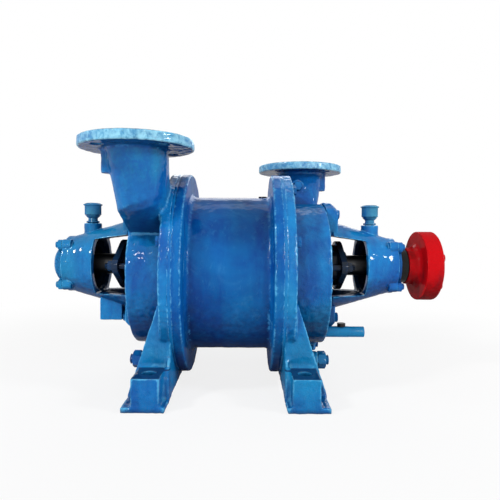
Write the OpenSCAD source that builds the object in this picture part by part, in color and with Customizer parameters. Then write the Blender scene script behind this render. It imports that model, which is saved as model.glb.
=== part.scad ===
// Liquid ring vacuum pump: one impeller stage between two end covers on feet.
// Shaft along X, floor at Z = 0, suction cover at -X with its port towards -Y.

/* [Casing] */
// Height of the shaft axis above the floor
shaft_h = 225; // [215:1:260]
// Height of the shaft axis above the casing axis
eccentricity = 16.5; // [12:0.5:18]
// Length of the pump body over its two flange faces
body_len = 195; // [170:1:220]
// Radius of the body wall
body_r = 154; // [150:1:158]
// Thickness of the body wall
body_wall = 12; // [8:0.5:14]
// Radius of the ring flanges
ring_r = 200; // [196:1:204]
// Thickness of one ring flange
ring_t = 19; // [14:1:22]
// Thickness of the flange gaskets
gasket_t = 1; // [0.5:0.1:2]

/* [End covers] */
// Radius of the gas chamber
chamber_r = 142.5; // [140:0.5:146]
// Length of the gas chamber beyond its ring flange
chamber_len = 68.5; // [64:0.5:76]
// Thickness of the gas chamber's round wall
chamber_wall = 12; // [8:1:16]
// Thickness of the gas chamber's end wall
end_wall = 20; // [18:1:26]
// Thickness of the port plates
plate_t = 8; // [6:0.5:10]

/* [Ports] */
// Distance of each port axis from the middle of the pump
port_x = 158; // [154:1:162]
// Distance of each port axis from the shaft's upright plane
port_y = 161; // [156:1:166]
// Height of the port faces above the floor
port_h = 450; // [440:1:470]
// Radius of the pipe flanges
port_flange_r = 98; // [92:1:106]
// Thickness of the pipe flanges
port_flange_t = 17; // [14:1:20]
// Bore of the ports
port_bore = 80; // [70:1:84]
// Bolt circle diameter of the pipe flanges
port_pcd = 150; // [146:1:160]
// Bolt hole diameter of the pipe flanges
port_hole = 18; // [14:1:20]

/* [Feet] */
// Distance of the foot holes from the middle, along the shaft
foot_x = 131; // [128:1:134]
// Distance of the foot holes from the middle, across the shaft
foot_y = 197; // [192:1:204]
// Diameter of the foot holes
foot_hole = 22; // [14:1:26]
// Height of the bolt pads
pad_h = 57; // [45:1:65]
// Thickness of the base plates
base_t = 9; // [6:1:14]
// Thickness of the gusset plates and webs
rib_t = 10; // [8:1:12]

/* [Rotor] */
// Number of impeller vanes
vanes = 16; // [12:1:20]
// Thickness of the vanes
vane_t = 6; // [4:0.5:8]
// Smallest gap between impeller and body
tip_gap = 2.5; // [1:0.5:4]
// Gap between the impeller ends and the port plates
side_gap = 0.3; // [0.2:0.05:0.5]
// Radius of the impeller hub
hub_r = 58; // [50:1:62]
// Diameter of the shaft under impeller and sleeves
shaft_d = 46; // [42:0.5:48]
// Diameter of the shaft in the bearings
journal_d = 40; // [36:0.5:41]
// Diameter of the shaft end in the coupling
shaft_end_d = 38; // [32:0.5:39]
// Outer diameter of the shaft sleeves
sleeve_d = 56; // [53:0.5:58]

/* [Bearings] */
// Distance of the bearings' inner faces from the middle
bearing_x = 300; // [296:1:304]
// Width of the bearings
bearing_w = 23; // [20:0.5:25]
// Outer diameter of the bearings
bearing_d = 90; // [86:0.5:94]
// Diameter of the balls
ball_d = 15; // [13:0.5:16]
// Number of balls
balls = 8; // [6:1:9]

/* [Bearing brackets] */
// Distance of the housing ends from the middle
housing_x = 334; // [331:1:340]
// Radius of the bearing housing
housing_r = 57; // [54:0.5:60]
// Radius of the bracket cone at its wide end
cone_r = 92; // [88:1:96]
// Thickness of the bracket's foot lugs
lug_t = 24; // [20:1:28]
// Reach of the foot lugs from the shaft axis
lug_r = 129; // [126:1:134]
// Half height of the bracket windows
window_h = 57; // [50:1:62]
// Distance of the windows' outer ends from the middle
window_x = 268; // [258:1:272]

/* [Stuffing boxes] */
// Bore of the stuffing boxes
box_d = 84; // [80:1:88]
// Length of one packing ring
packing_w = 12; // [10:0.5:13]
// Thickness of the gland flange
gland_t = 12; // [10:1:14]
// Distance of the gland studs from the shaft axis
gland_y = 70; // [66:1:72]

/* [Coupling] */
// Radius of the coupling disc
coupling_r = 71; // [66:1:76]
// Thickness of the coupling disc
coupling_t = 34; // [28:1:40]
// Radius of the coupling hub
coupling_hub_r = 38; // [34:1:42]
// Length of the coupling hub behind the disc
coupling_hub_len = 24; // [18:1:30]
// Number of coupling pins
pins = 6; // [4:1:8]
// Radius of the coupling pin circle
pin_circle_r = 55; // [52:1:57]

/* [Fasteners] */
// Diameter of the ring-flange bolts
bolt_d = 12; // [10:1:16]
// Distance of the ring-flange bolts from the rim
bolt_edge = 22; // [19:1:24]
// Diameter of the lower studs
stud_d = 20; // [16:1:22]
// Diameter of the bracket bolts
bracket_bolt_d = 12; // [10:1:14]
// Diameter of the gland studs
gland_stud_d = 12; // [10:1:13]
// Diameter of the bearing cover screws
screw_d = 8; // [6:0.5:9]
// Outer diameter of the water pipe
pipe_d = 21.3; // [17:0.1:22]

/* [Hidden] */
$fn = 64;
// Radial clearance of a turning fit
run_fit = 0.06;
// Radial clearance of a fastener in its hole
hole_fit = 0.3;
// Radial clearance of a fixed fit
seat_fit = 0.05;
casing_z = shaft_h - eccentricity;
bolt_circle_r = ring_r - bolt_edge;
body_bore_r = body_r - body_wall;
body_half = body_len / 2;
face_x = body_half + gasket_t;
ring_x = face_x + ring_t;
chamber_x = ring_x + chamber_len;
cavity_x = chamber_x - end_wall;
plate_lip = 0.5;
plate_x = face_x - plate_lip;
plate_back = plate_x + plate_t;
plate_r = body_bore_r + 5;
port_lip = 5;
suction_reach = 42;
discharge_reach = 26;
impeller_r = body_bore_r - eccentricity - tip_gap;
impeller_half = plate_x - side_gap;
shaft_r = shaft_d / 2;
journal_r = journal_d / 2;
sleeve_r = sleeve_d / 2;
throat_r = sleeve_r + 1;
hub_wall_r = box_d / 2 + 18;
box_r = box_d / 2;
box_end = chamber_x + 8;
lantern_w = packing_w + 2;
packing_gap = 0.1;
packing_x0 = box_end - 8 - 4 * packing_w - lantern_w;
gland_nose = box_end - 8;
gland_x = box_end + 20;
gland_end = gland_x + gland_t;
gland_pad_r = gland_stud_d + 2;
gland_nut_h = 0.8 * gland_stud_d;
gland_tap = 14;
sleeve_end = gland_end + 10;
neck_shaft_r = journal_r + 1;
lug_end = chamber_x + lug_t;
lug_half_top = 60;
lug_half_bottom = 44;
lug_tap = 16;
lug_bolt_y = lug_half_bottom - bracket_bolt_d - 6;
lug_bolt_z = lug_r - 2 * bracket_bolt_d;
lug_bevel = 8;
// How much lower a window's upper edge lies at its outer end
window_fall = 12;
housing_bore_r = bearing_d / 2 + seat_fit;
bearing_end = bearing_x + bearing_w;
pitch_r = (bearing_d / 2 + journal_r) / 2;
ball_r = ball_d / 2;
race_gap = 0.1;
inner_race_r = pitch_r - 5;
outer_race_r = pitch_r + 5;
cover_t = 8;
cover_end = housing_x + cover_t;
ear_r = screw_d + 3;
ear_circle_r = housing_r - 1;
ear_angles = [45 : 90 : 315];
arm_half = ear_r - 3;
cover_r = housing_r - 11;
dome_r = 34;
dome_x = cover_end + 15;
dome_edge = 5;
dome_wall = 6;
nut_w = 11;
nut_r = journal_r + 9;
left_shaft_end = bearing_end + nut_w + 3;
collar_x = cover_end + 1;
collar_t = 17;
coupling_x = collar_x + collar_t;
disc_x = coupling_x + coupling_hub_len;
shaft_end = disc_x + coupling_t;
shaft_end_r = shaft_end_d / 2;
key_w = 12;
key_h = 8;
key_depth = 5;
key_half_len = 60;
end_key_w = 10;
pin_r = 8;
pin_angles = [for (i = [0 : pins - 1]) 40 + i * 360 / pins];
pin_x = disc_x + 8;
set_screw_r = 4;
pin_proud = 4;
cup_x = 287;
cup_rise = 83;
cup_z = shaft_h + cup_rise;
cup_stem_r = 9.5;
cap_r = 16.5;
cap_wall = 3;
cap_h = 25;
cap_z = cup_z + 17;
seal_r = shaft_end_r + 9;
seal_gap = 0.5;
pipe_r = pipe_d / 2;
pipe_y = -60;
pipe_drop = 110.5;
pipe_z = casing_z - pipe_drop;
pipe_end = 263;
pipe_bore_r = pipe_r - 2.8;
pipe_thread = 30;
pipe_thread_r = pipe_r - 0.25;
plug_x = 219;
plug_r = 4;
drain_x = ring_x + chamber_len * 0.73;
drain_r = 12;
drain_plug_r = drain_r - 4;
drain_drop = 9;
drain_len = 20;
drain_z = casing_z - chamber_r;
neck_r = port_bore / 2 + 13;
throat_x = port_x - 12;
throat_y = port_y - 6;
throat_drop = 120;
throat_z = port_h - throat_drop;
throat_tilt = 20;
throat_h = 12;
throat_in = 8;
throat_neck_r = 44;
elbow_in = 4;
elbow_y = 100;
elbow_rise = 103.5;
elbow_z = casing_z + elbow_rise;
elbow_r = 28;
neck_wall = 15;
stub_h = 41;
stub_r = 14;
boss_z = port_h - port_flange_t - 0.26 * (port_h - elbow_z);
boss_r = 15;
boss_len = 20;
boss_y = port_y - neck_r - 18;
boss_bore_r = 8;
prime_x = 64;
prime_r = 8.5;
prime_lift = 0.5;
port_mouth = 60;
screw_grip = 13;
// Angles between which the port plates are open
suction_span = [15, 125];
discharge_span = [20, 75];
pad_half_x = 23;
pad_half_y = 28;
pad_front = 33;
base_out = foot_x + 40;
foot_out_y = foot_y + pad_front + 1;
gusset_y = foot_y - pad_half_y;
web_lift = 4;
gusset_drop = 40;
gusset_top = casing_z - gusset_drop;
gusset_in = 4;
web_t = 6;
web_drop = 12;
web_slope = 50;
stud_boss_r = stud_d / 2 + 7;
stud_boss_len = 53.5;
stud_boss_x = ring_x + stud_boss_len;
stud_nut_h = 16;
stud_proud = 6;
stud_end = stud_boss_x + stud_nut_h + stud_proud;
tap_depth = ring_t - 4;
// Spot face round a ring-flange bolt head
spot_r = flats(bolt_d) * 0.6 + 0.5;
bolt_angles = [for (i = [0 : 7]) 22.5 + 45 * i];
// The two lowest places of the bolt circle hold the long studs, and the gussets take the two above them
upper_angles = [for (a = bolt_angles) if (sin(a) > 0) a];
lower_angles = [for (a = bolt_angles) if (sin(a) < -0.9) a];
// Hexagon width across flats for a thread size
function flats(d) = 1.5 * d;

blue = "#1f5fae";
red = "#c81420";
black = "#161616";
steel = "#a8acb0";
bronze = "#b08d57";
dark = "#3a3d40";

// Round bar along X from x0 to x1
module bar(x0, x1, r) {
    translate([x0, 0, 0]) rotate([0, 90, 0]) cylinder(h = x1 - x0, r = r);
}

// Tube along X
module tube(x0, x1, r, bore) {
    difference() {
        bar(x0, x1, r);
        bar(x0 - 1, x1 + 1, bore);
    }
}

// Cone along X
module taper(x0, x1, r0, r1) {
    translate([x0, 0, 0]) rotate([0, 90, 0]) cylinder(h = x1 - x0, r1 = r0, r2 = r1);
}

// Hexagon prism along X for a thread size
module hexagon(x0, x1, d) {
    translate([x0, 0, 0]) rotate([0, 90, 0]) cylinder(h = x1 - x0, d = flats(d) / cos(30), $fn = 6);
}

module on_shaft() { translate([0, 0, shaft_h]) children(); }

module on_casing() { translate([0, 0, casing_z]) children(); }

// Turns a piece of the right-hand end round the upright axis to the left-hand end
module left_end() { rotate([0, 0, 180]) children(); }

// Copies at places on a circle round the X axis
module around(r, angles) {
    for (a = angles) translate([0, r * cos(a), r * sin(a)]) children();
}

module mirrored_y() {
    children();
    mirror([0, 1, 0]) children();
}

// Pump body: a cylinder with a flange at each end and a small step beside each flange
module body_profile() {
    step_r = body_r + 6;
    step_w = 2;
    step_slope = 3;
    flange_x = body_half - ring_t;
    rotate([0, 90, 0]) rotate_extrude() polygon([
        [body_bore_r, -body_half], [ring_r - 2, -body_half], [ring_r, 2 - body_half], [ring_r, -flange_x],
        [step_r, -flange_x], [step_r, step_w - flange_x], [body_r, step_w + step_slope - flange_x],
        [body_r, flange_x - step_w - step_slope], [step_r, flange_x - step_w], [step_r, flange_x],
        [ring_r, flange_x], [ring_r, body_half - 2], [ring_r - 2, body_half], [body_bore_r, body_half]]);
}

module pump_body() {
    color(blue) on_casing() difference() {
        union() {
            body_profile();
            translate([prime_x, 0, body_r - 6]) cylinder(h = prime_lift + 6, r = prime_r + 2);
        }
        for (s = [-1, 1]) {
            around(bolt_circle_r, upper_angles)
                bar(s > 0 ? body_half - tap_depth : -body_half - 1,
                    s > 0 ? body_half + 1 : tap_depth - body_half, bolt_d / 2 + seat_fit);
            around(bolt_circle_r, lower_angles)
                bar(s > 0 ? body_half - tap_depth : -body_half - 1,
                    s > 0 ? body_half + 1 : tap_depth - body_half, stud_d / 2 + seat_fit);
        }
        translate([prime_x, 0, body_bore_r - 5])
            cylinder(h = 2 * body_wall + 10, r = prime_r - 2 + seat_fit);
    }
}

// Feet of a right-hand cover: base plates, bolt pads, gussets and the web between them
module cover_feet() {
    mirrored_y() {
        translate([face_x, gusset_y - rib_t, 0])
            cube([base_out - face_x, foot_out_y - gusset_y + rib_t, base_t]);
        translate([foot_x - pad_half_x, foot_y - pad_half_y - 0.5, 0])
            cube([2 * pad_half_x, pad_half_y + pad_front + 0.5, pad_h]);
        translate([0, gusset_y, 0]) rotate([90, 0, 0]) linear_extrude(rib_t) polygon([
            [face_x, 0], [base_out + 3, 0], [base_out + 3, base_t], [ring_x + gusset_in, gusset_top],
            [ring_x - gusset_in, gusset_top], [ring_x - gusset_in, pad_h], [face_x, pad_h]]);
    }
    web_y = foot_y - 2;
    translate([face_x, 0, 0]) rotate([90, 0, 90]) linear_extrude(web_t) polygon([
        [-web_y, 0], [-gusset_y, 0], [-gusset_y, web_lift], [gusset_y, web_lift], [gusset_y, 0],
        [web_y, 0], [web_y, pad_h - web_drop], [web_y - web_slope, pad_h + web_slope],
        [web_slope - web_y, pad_h + web_slope], [-web_y, pad_h - web_drop]]);
}

// Neck of a right-hand cover, grown or shrunk by a wall: round at the port, wide and low at the chamber
module neck_shape(wall) {
    hull() {
        translate([port_x, port_y, port_h - port_flange_t]) cylinder(h = 1, r = neck_r - wall);
        translate([throat_x, throat_y, throat_z + wall]) rotate([0, throat_tilt, 0])
            cylinder(h = throat_h, r1 = throat_neck_r - throat_in - wall, r2 = throat_neck_r - wall);
        translate([0, elbow_y, elbow_z])
            bar(ring_x - elbow_in + wall, chamber_x - elbow_in - wall, elbow_r - wall, $fn = 32);
    }
}

module cover_outside() {
    on_casing() {
        bar(face_x, ring_x, ring_r);
        bar(face_x, chamber_x, chamber_r);
        around(bolt_circle_r, lower_angles) bar(face_x, stud_boss_x, stud_boss_r);
    }
    on_shaft() {
        bar(face_x, box_end, hub_wall_r);
        mirrored_y() translate([0, gland_y, 0]) bar(cavity_x, box_end, gland_pad_r);
    }
    neck_shape(0);
    translate([port_x, port_y, port_h - port_flange_t]) cylinder(h = port_flange_t, r = port_flange_r);
    translate([port_x + neck_r - 5, port_y, port_h - port_flange_t - stub_h])
        cylinder(h = stub_h + 1, r = stub_r);
    translate([throat_x, boss_y, boss_z]) rotate([-90, 0, 0]) cylinder(h = boss_len, r = boss_r);
    translate([drain_x, 0, drain_z - drain_drop]) cylinder(h = drain_len, r = drain_r);
    cover_feet();
}

// One casting serves both ends: the right-hand cover turned half round gives the left-hand one
module cover() {
    difference() {
        cover_outside();
        on_casing() {
            difference() {
                bar(plate_back, cavity_x, chamber_r - chamber_wall);
                translate([0, 0, eccentricity]) bar(face_x - 1, chamber_x, hub_wall_r);
            }
            bar(face_x - 1, plate_back, plate_r + seat_fit);
            around(bolt_circle_r, upper_angles) {
                bar(face_x - 1, ring_x + 1, bolt_d / 2 + hole_fit);
                bar(ring_x, ring_x + bolt_d, spot_r);
            }
            around(bolt_circle_r, lower_angles) bar(face_x - 1, stud_boss_x + 1, stud_d / 2 + hole_fit);
        }
        on_shaft() {
            bar(face_x - 1, chamber_x, throat_r);
            bar(packing_x0, box_end + 1, box_r);
            mirrored_y() translate([0, gland_y, 0])
                bar(chamber_x - gland_tap, box_end + 1, gland_stud_d / 2 + seat_fit);
            for (z = [-lug_bolt_z, lug_bolt_z]) mirrored_y()
                translate([0, lug_bolt_y, z])
                    bar(chamber_x - lug_tap, chamber_x + 1, bracket_bolt_d / 2 + seat_fit);
        }
        neck_shape(neck_wall);
        translate([port_x, port_y, port_h - port_mouth]) cylinder(h = port_mouth + 1, r = port_bore / 2);
        translate([port_x, port_y, port_h - port_flange_t - 1]) for (a = [45 : 90 : 315])
            rotate([0, 0, a]) translate([port_pcd / 2, 0, 0]) cylinder(h = port_flange_t + 2, d = port_hole);
        translate([throat_x, boss_y - 1, boss_z]) rotate([-90, 0, 0])
            cylinder(h = boss_len + 10, r = boss_bore_r + seat_fit);
        translate([drain_x, 0, drain_z - drain_drop - 1])
            cylinder(h = drain_len + 10, r = drain_plug_r + seat_fit);
        mirrored_y() translate([foot_x, foot_y, -1]) cylinder(h = pad_h + 2, d = foot_hole);
    }
}

module suction_cover() { color(blue) left_end() cover(); }

module discharge_cover() {
    color(blue) difference() {
        cover();
        translate([0, pipe_y, pipe_z]) bar(cavity_x - 5, chamber_x + 1, pipe_r + seat_fit);
    }
}

// Crescent round the shaft axis between two angles, drawn in the plane across the shaft
module crescent(r0, r1, a0, a1) {
    reach = 2 * r1;
    intersection() {
        difference() {
            circle(r = r1);
            circle(r = r0);
        }
        polygon([[0, 0], for (i = [0 : 4])
            let (a = a0 + (a1 - a0) * i / 4) [reach * cos(a), reach * sin(a)]]);
    }
}

// Port plate of the right-hand end with one crescent opening and a water hole
module port_plate(r0, r1, span) {
    on_casing() translate([plate_x, 0, 0]) rotate([90, 0, 90]) linear_extrude(plate_t) difference() {
        circle(r = plate_r);
        translate([0, eccentricity]) {
            circle(r = throat_r);
            crescent(r0, r1, span[0], span[1]);
            translate([0, -hub_r - 12]) circle(r = 5);
        }
    }
}

module suction_port_plate() {
    color(dark) left_end() port_plate(hub_r + port_lip, hub_r + suction_reach, suction_span);
}

module discharge_port_plate() {
    color(dark) port_plate(hub_r + port_lip, hub_r + discharge_reach, discharge_span);
}

// Flange gasket of the right-hand end with its bolt holes
module gasket() {
    on_casing() difference() {
        tube(body_half, face_x, ring_r - 1, plate_r + 3);
        around(bolt_circle_r, upper_angles) bar(body_half - 1, face_x + 1, bolt_d / 2 + hole_fit);
        around(bolt_circle_r, lower_angles) bar(body_half - 1, face_x + 1, stud_d / 2 + hole_fit);
    }
}

module left_gasket() { color(dark) left_end() gasket(); }
module right_gasket() { color(dark) gasket(); }

// Hexagon-head bolt along X: head from its seat outwards, shank inwards
module hex_bolt(seat, depth, d) {
    bar(seat - depth, seat, d / 2);
    hexagon(seat, seat + 0.65 * d, d);
}

module flange_bolts() {
    on_casing() around(bolt_circle_r, upper_angles)
        hex_bolt(ring_x, ring_x - body_half + tap_depth - 2, bolt_d);
}

module left_flange_bolts() { color(blue) left_end() flange_bolts(); }
module right_flange_bolts() { color(blue) flange_bolts(); }

module studs_one_end() {
    on_casing() around(bolt_circle_r, lower_angles) bar(body_half - tap_depth + 1, stud_end, stud_d / 2);
}

module lower_studs() {
    color(blue) {
        studs_one_end();
        left_end() studs_one_end();
    }
}

module nuts_one_end() {
    on_casing() around(bolt_circle_r, lower_angles) difference() {
        hexagon(stud_boss_x, stud_boss_x + stud_nut_h, stud_d);
        bar(stud_boss_x - 1, stud_boss_x + stud_nut_h + 1, stud_d / 2 + seat_fit);
    }
}

module lower_stud_nuts() {
    color(blue) {
        nuts_one_end();
        left_end() nuts_one_end();
    }
}

// Bearing bracket of the right-hand end: lugs, cone with windows, bearing housing and grease boss
module bracket() {
    cone_x = chamber_x + 14;
    cone_wall = 10;
    cup_boss_z = 40;
    reach = 40;
    screw_tap = 16;
    housing_len = 50;
    housing_lip = 12;
    on_shaft() difference() {
        union() {
            intersection() {
                bar(chamber_x, lug_end, lug_r);
                taper(chamber_x - 1, lug_end, lug_r - lug_bevel + lug_t + 1, lug_r - lug_bevel);
                union() {
                    translate([chamber_x, -lug_half_top, 0]) cube([lug_t, 2 * lug_half_top, lug_r + 1]);
                    translate([chamber_x, -lug_half_bottom, -lug_r - 1])
                        cube([lug_t, 2 * lug_half_bottom, lug_r + 2]);
                }
            }
            taper(cone_x, housing_x - housing_lip, cone_r, housing_r);
            bar(housing_x - housing_len, housing_x, housing_r);
            around(ear_circle_r, ear_angles) bar(housing_x - screw_tap - 2, housing_x, ear_r);
            translate([cup_x, 0, cup_boss_z]) cylinder(h = cup_z - shaft_h - cup_boss_z, r = cup_stem_r + 8);
        }
        taper(chamber_x - 1, window_x + 8, cone_r - cone_wall, housing_r - 4);
        rotate([90, 0, 0]) linear_extrude(2 * lug_r, center = true) polygon([
            [chamber_x - 1, -window_h], [window_x, -window_h], [window_x, window_h - window_fall / 2],
            [chamber_x - 1, window_h + window_fall / 2]]);
        bar(window_x - 1, housing_x, outer_race_r - 2);
        bar(bearing_x, housing_x + 1, housing_bore_r);
        around(ear_circle_r, ear_angles) bar(housing_x - screw_tap, housing_x + 1, screw_d / 2 + seat_fit);
        for (z = [-lug_bolt_z, lug_bolt_z]) mirrored_y()
            translate([0, lug_bolt_y, z]) bar(chamber_x - 1, lug_end + reach, bracket_bolt_d / 2 + hole_fit);
        for (z = [-lug_bolt_z, lug_bolt_z]) mirrored_y()
            translate([0, lug_bolt_y, z]) bar(lug_end, lug_end + reach, flats(bracket_bolt_d) / 2 + 6);
        translate([cup_x, 0, housing_r - 30]) cylinder(h = cup_z, r = cup_stem_r + seat_fit);
    }
}

module right_bearing_bracket() { color(blue) bracket(); }

// The left-hand bracket carries a square pad under its lower arm
module left_bearing_bracket() {
    pad_top = shaft_h - window_h - 10;
    pad_deep = 44;
    pad_bottom = pad_top - pad_deep;
    pad_half = 38;
    pad_len = 44;
    color(blue) left_end() union() {
        bracket();
        translate([lug_end + 8, -pad_half, pad_bottom]) cube([pad_len, 2 * pad_half, pad_top - pad_bottom]);
    }
}

module bracket_bolts() {
    on_shaft() for (z = [-lug_bolt_z, lug_bolt_z]) mirrored_y()
        translate([0, lug_bolt_y, z]) hex_bolt(lug_end, lug_t + lug_tap - 2, bracket_bolt_d);
}

module left_bracket_bolts() { color(blue) left_end() bracket_bolts(); }
module right_bracket_bolts() { color(blue) bracket_bolts(); }

// Packing: two rings inside and two outside the lantern ring
module packing() {
    on_shaft() for (i = [0 : 3]) {
        x0 = packing_x0 + i * packing_w + (i > 1 ? lantern_w : 0);
        tube(x0 + packing_gap, x0 + packing_w - packing_gap, box_r, sleeve_r + run_fit);
    }
}

module left_packing() { color(dark) left_end() packing(); }
module right_packing() { color(dark) packing(); }

module lantern_ring() {
    x0 = packing_x0 + 2 * packing_w;
    groove = 4;
    on_shaft() difference() {
        tube(x0, x0 + lantern_w, box_r, sleeve_r + run_fit);
        tube(x0 + groove, x0 + lantern_w - groove, box_r + 1, box_r - 4);
        for (a = [0 : 90 : 270]) rotate([a, 0, 0])
            translate([x0 + lantern_w / 2, 0, 0]) cylinder(h = box_r + 5, r = 2.5);
    }
}

module left_lantern_ring() { color(bronze) left_end() lantern_ring(); }
module right_lantern_ring() { color(bronze) lantern_ring(); }

// Gland: a nose that presses the packing and an oval flange for two studs
module gland() {
    on_shaft() difference() {
        union() {
            bar(gland_nose, gland_x + 1, box_r - seat_fit);
            translate([gland_x, 0, 0]) rotate([90, 0, 90]) linear_extrude(gland_t) hull() {
                circle(r = box_r + 8);
                for (s = [-1, 1]) translate([s * gland_y, 0]) circle(r = gland_pad_r);
            }
        }
        bar(gland_nose - 1, gland_end + 1, sleeve_r + 0.5);
        mirrored_y() translate([0, gland_y, 0]) bar(gland_x - 1, gland_end + 1, gland_stud_d / 2 + hole_fit);
    }
}

module left_gland() { color(blue) left_end() gland(); }
module right_gland() { color(blue) gland(); }

module gland_studs() {
    on_shaft() mirrored_y() translate([0, gland_y, 0])
        bar(chamber_x - gland_tap + 1, gland_end + gland_nut_h + 5, gland_stud_d / 2);
}

module left_gland_studs() { color(blue) left_end() gland_studs(); }
module right_gland_studs() { color(blue) gland_studs(); }

module gland_nuts() {
    on_shaft() mirrored_y() translate([0, gland_y, 0]) difference() {
        hexagon(gland_end, gland_end + gland_nut_h, gland_stud_d);
        bar(gland_end - 1, gland_end + gland_nut_h + 1, gland_stud_d / 2 + seat_fit);
    }
}

module left_gland_nuts() { color(blue) left_end() gland_nuts(); }
module right_gland_nuts() { color(blue) gland_nuts(); }

// Ball track round the shaft axis
module ball_track() {
    translate([bearing_x + bearing_w / 2, 0, 0]) rotate([0, 90, 0])
        rotate_extrude() translate([pitch_r, 0]) circle(r = ball_r + race_gap);
}

module outer_race() {
    on_shaft() difference() {
        tube(bearing_x, bearing_end, bearing_d / 2, outer_race_r);
        ball_track();
    }
}

module left_bearing_outer_race() { color(steel) left_end() outer_race(); }
module right_bearing_outer_race() { color(steel) outer_race(); }

module inner_race() {
    on_shaft() difference() {
        tube(bearing_x, bearing_end, inner_race_r, journal_r + seat_fit);
        ball_track();
    }
}

module left_bearing_inner_race() { color(steel) left_end() inner_race(); }
module right_bearing_inner_race() { color(steel) inner_race(); }

module ball_set() {
    on_shaft() for (i = [0 : balls - 1]) rotate([i * 360 / balls, 0, 0])
        translate([bearing_x + bearing_w / 2, 0, pitch_r]) sphere(r = ball_r);
}

module left_bearing_balls() { color(steel) left_end() ball_set(); }
module right_bearing_balls() { color(steel) ball_set(); }

// Cage: a thin ring with a pocket for each ball
module cage() {
    half_t = 1.5;
    half_w = ball_r + 2;
    x_mid = bearing_x + bearing_w / 2;
    on_shaft() difference() {
        tube(x_mid - half_w, x_mid + half_w, pitch_r + half_t, pitch_r - half_t);
        for (i = [0 : balls - 1]) rotate([i * 360 / balls, 0, 0])
            translate([x_mid, 0, 0]) cylinder(h = bearing_d, r = ball_r + seat_fit);
    }
}

module left_bearing_cage() { color(bronze) left_end() cage(); }
module right_bearing_cage() { color(bronze) cage(); }

// Bearing cover of the right-hand end: round flange with four ears and a spigot on the outer race
module cover_flange(bore) {
    on_shaft() difference() {
        union() {
            bar(housing_x, cover_end, cover_r);
            around(ear_circle_r, ear_angles) bar(housing_x, cover_end, ear_r - 1);
            for (a = [45, 135]) rotate([a, 0, 0]) translate([housing_x, -ear_circle_r, -arm_half])
                cube([cover_t, 2 * ear_circle_r, 2 * arm_half]);
            bar(bearing_end, housing_x + 1, housing_bore_r - seat_fit);
        }
        bar(bearing_end - 1, housing_x - 0.5, outer_race_r - 1);
        bar(bearing_end - 1, cover_end + 1, bore);
        around(ear_circle_r, ear_angles) bar(housing_x - 1, cover_end + 1, screw_d / 2 + hole_fit);
    }
}

module right_bearing_cover() { color(blue) cover_flange(seal_r); }

module left_bearing_cover() {
    color(blue) left_end() union() {
        cover_flange(dome_r - dome_wall - 2);
        on_shaft() difference() {
            union() {
                bar(housing_x + 2, dome_x - dome_edge, dome_r);
                taper(dome_x - dome_edge, dome_x, dome_r, dome_r - 7);
            }
            bar(housing_x - 1, dome_x - dome_edge - 2, dome_r - dome_wall);
        }
    }
}

module cover_screws() {
    on_shaft() around(ear_circle_r, ear_angles) hex_bolt(cover_end, cover_t + screw_grip, screw_d);
}

module left_cover_screws() { color(blue) left_end() cover_screws(); }
module right_cover_screws() { color(blue) cover_screws(); }

module oil_seal() {
    color(black) on_shaft() tube(housing_x + seal_gap, cover_end, seal_r - seat_fit, shaft_end_r + run_fit);
}

// Grease cup of the right-hand end: stem, collar and threaded bowl under a screw cap
module grease_cup_base() {
    bowl_r = cap_r - cap_wall - hole_fit;
    stem_in = 24;
    duct_r = 3;
    translate([cup_x, 0, 0]) difference() {
        union() {
            translate([0, 0, cup_z - stem_in]) cylinder(h = stem_in + cap_z - cup_z - 1, r = cup_stem_r);
            translate([0, 0, cup_z]) cylinder(h = 5, r = cup_stem_r + 4);
            translate([0, 0, cap_z - 6]) cylinder(h = 5.6, r1 = cup_stem_r, r2 = cap_r - 1);
            translate([0, 0, cap_z - 1]) cylinder(h = cap_h - 8, r = bowl_r);
        }
        translate([0, 0, cup_z - stem_in - 1]) cylinder(h = stem_in + 2 * cap_h, r = duct_r);
    }
}

module left_grease_cup_base() { color(blue) left_end() grease_cup_base(); }
module right_grease_cup_base() { color(blue) grease_cup_base(); }

module grease_cup_cap() {
    translate([cup_x, 0, cap_z]) difference() {
        union() {
            cylinder(h = cap_h, r = cap_r);
            translate([0, 0, cap_h - 5]) cylinder(h = 3, r = cap_r + 2.5);
        }
        translate([0, 0, -1]) cylinder(h = cap_h - 2, r = cap_r - cap_wall);
    }
}

module left_grease_cup_cap() { color(blue) left_end() grease_cup_cap(); }
module right_grease_cup_cap() { color(blue) grease_cup_cap(); }

// Water pipe: a nipple with a threaded end and a tapped hole on top
module water_pipe() {
    color(blue) translate([0, pipe_y, pipe_z]) difference() {
        union() {
            bar(cavity_x - 4, pipe_end - pipe_thread, pipe_r);
            bar(cavity_x, pipe_end, pipe_thread_r);
        }
        bar(cavity_x - 6, pipe_end + 1, pipe_bore_r);
        translate([plug_x, 0, 0]) cylinder(h = pipe_r + 5, r = plug_r + seat_fit);
    }
}

module pipe_plug() {
    color(black) translate([plug_x, pipe_y, pipe_z]) {
        translate([0, 0, pipe_bore_r]) cylinder(h = pipe_r - pipe_bore_r + 3, r = plug_r);
        translate([0, 0, pipe_r + hole_fit]) cylinder(h = 6, r = 2 * plug_r);
    }
}

module drain_plug() {
    head_h = 9;
    translate([drain_x, 0, drain_z - drain_drop]) {
        cylinder(h = drain_len, r = drain_plug_r);
        translate([0, 0, -head_h]) cylinder(h = head_h, r = drain_plug_r + 2, $fn = 6);
    }
}

module drain_plugs() {
    color(blue) {
        drain_plug();
        left_end() drain_plug();
    }
}

module gauge_plug() {
    head_h = 6;
    translate([throat_x, boss_y, boss_z]) rotate([-90, 0, 0]) {
        cylinder(h = boss_len - 6, r = boss_bore_r);
        translate([0, 0, -head_h]) cylinder(h = head_h, r = boss_bore_r + 2, $fn = 6);
    }
}

module gauge_plugs() {
    color(blue) {
        gauge_plug();
        left_end() gauge_plug();
    }
}

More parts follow.
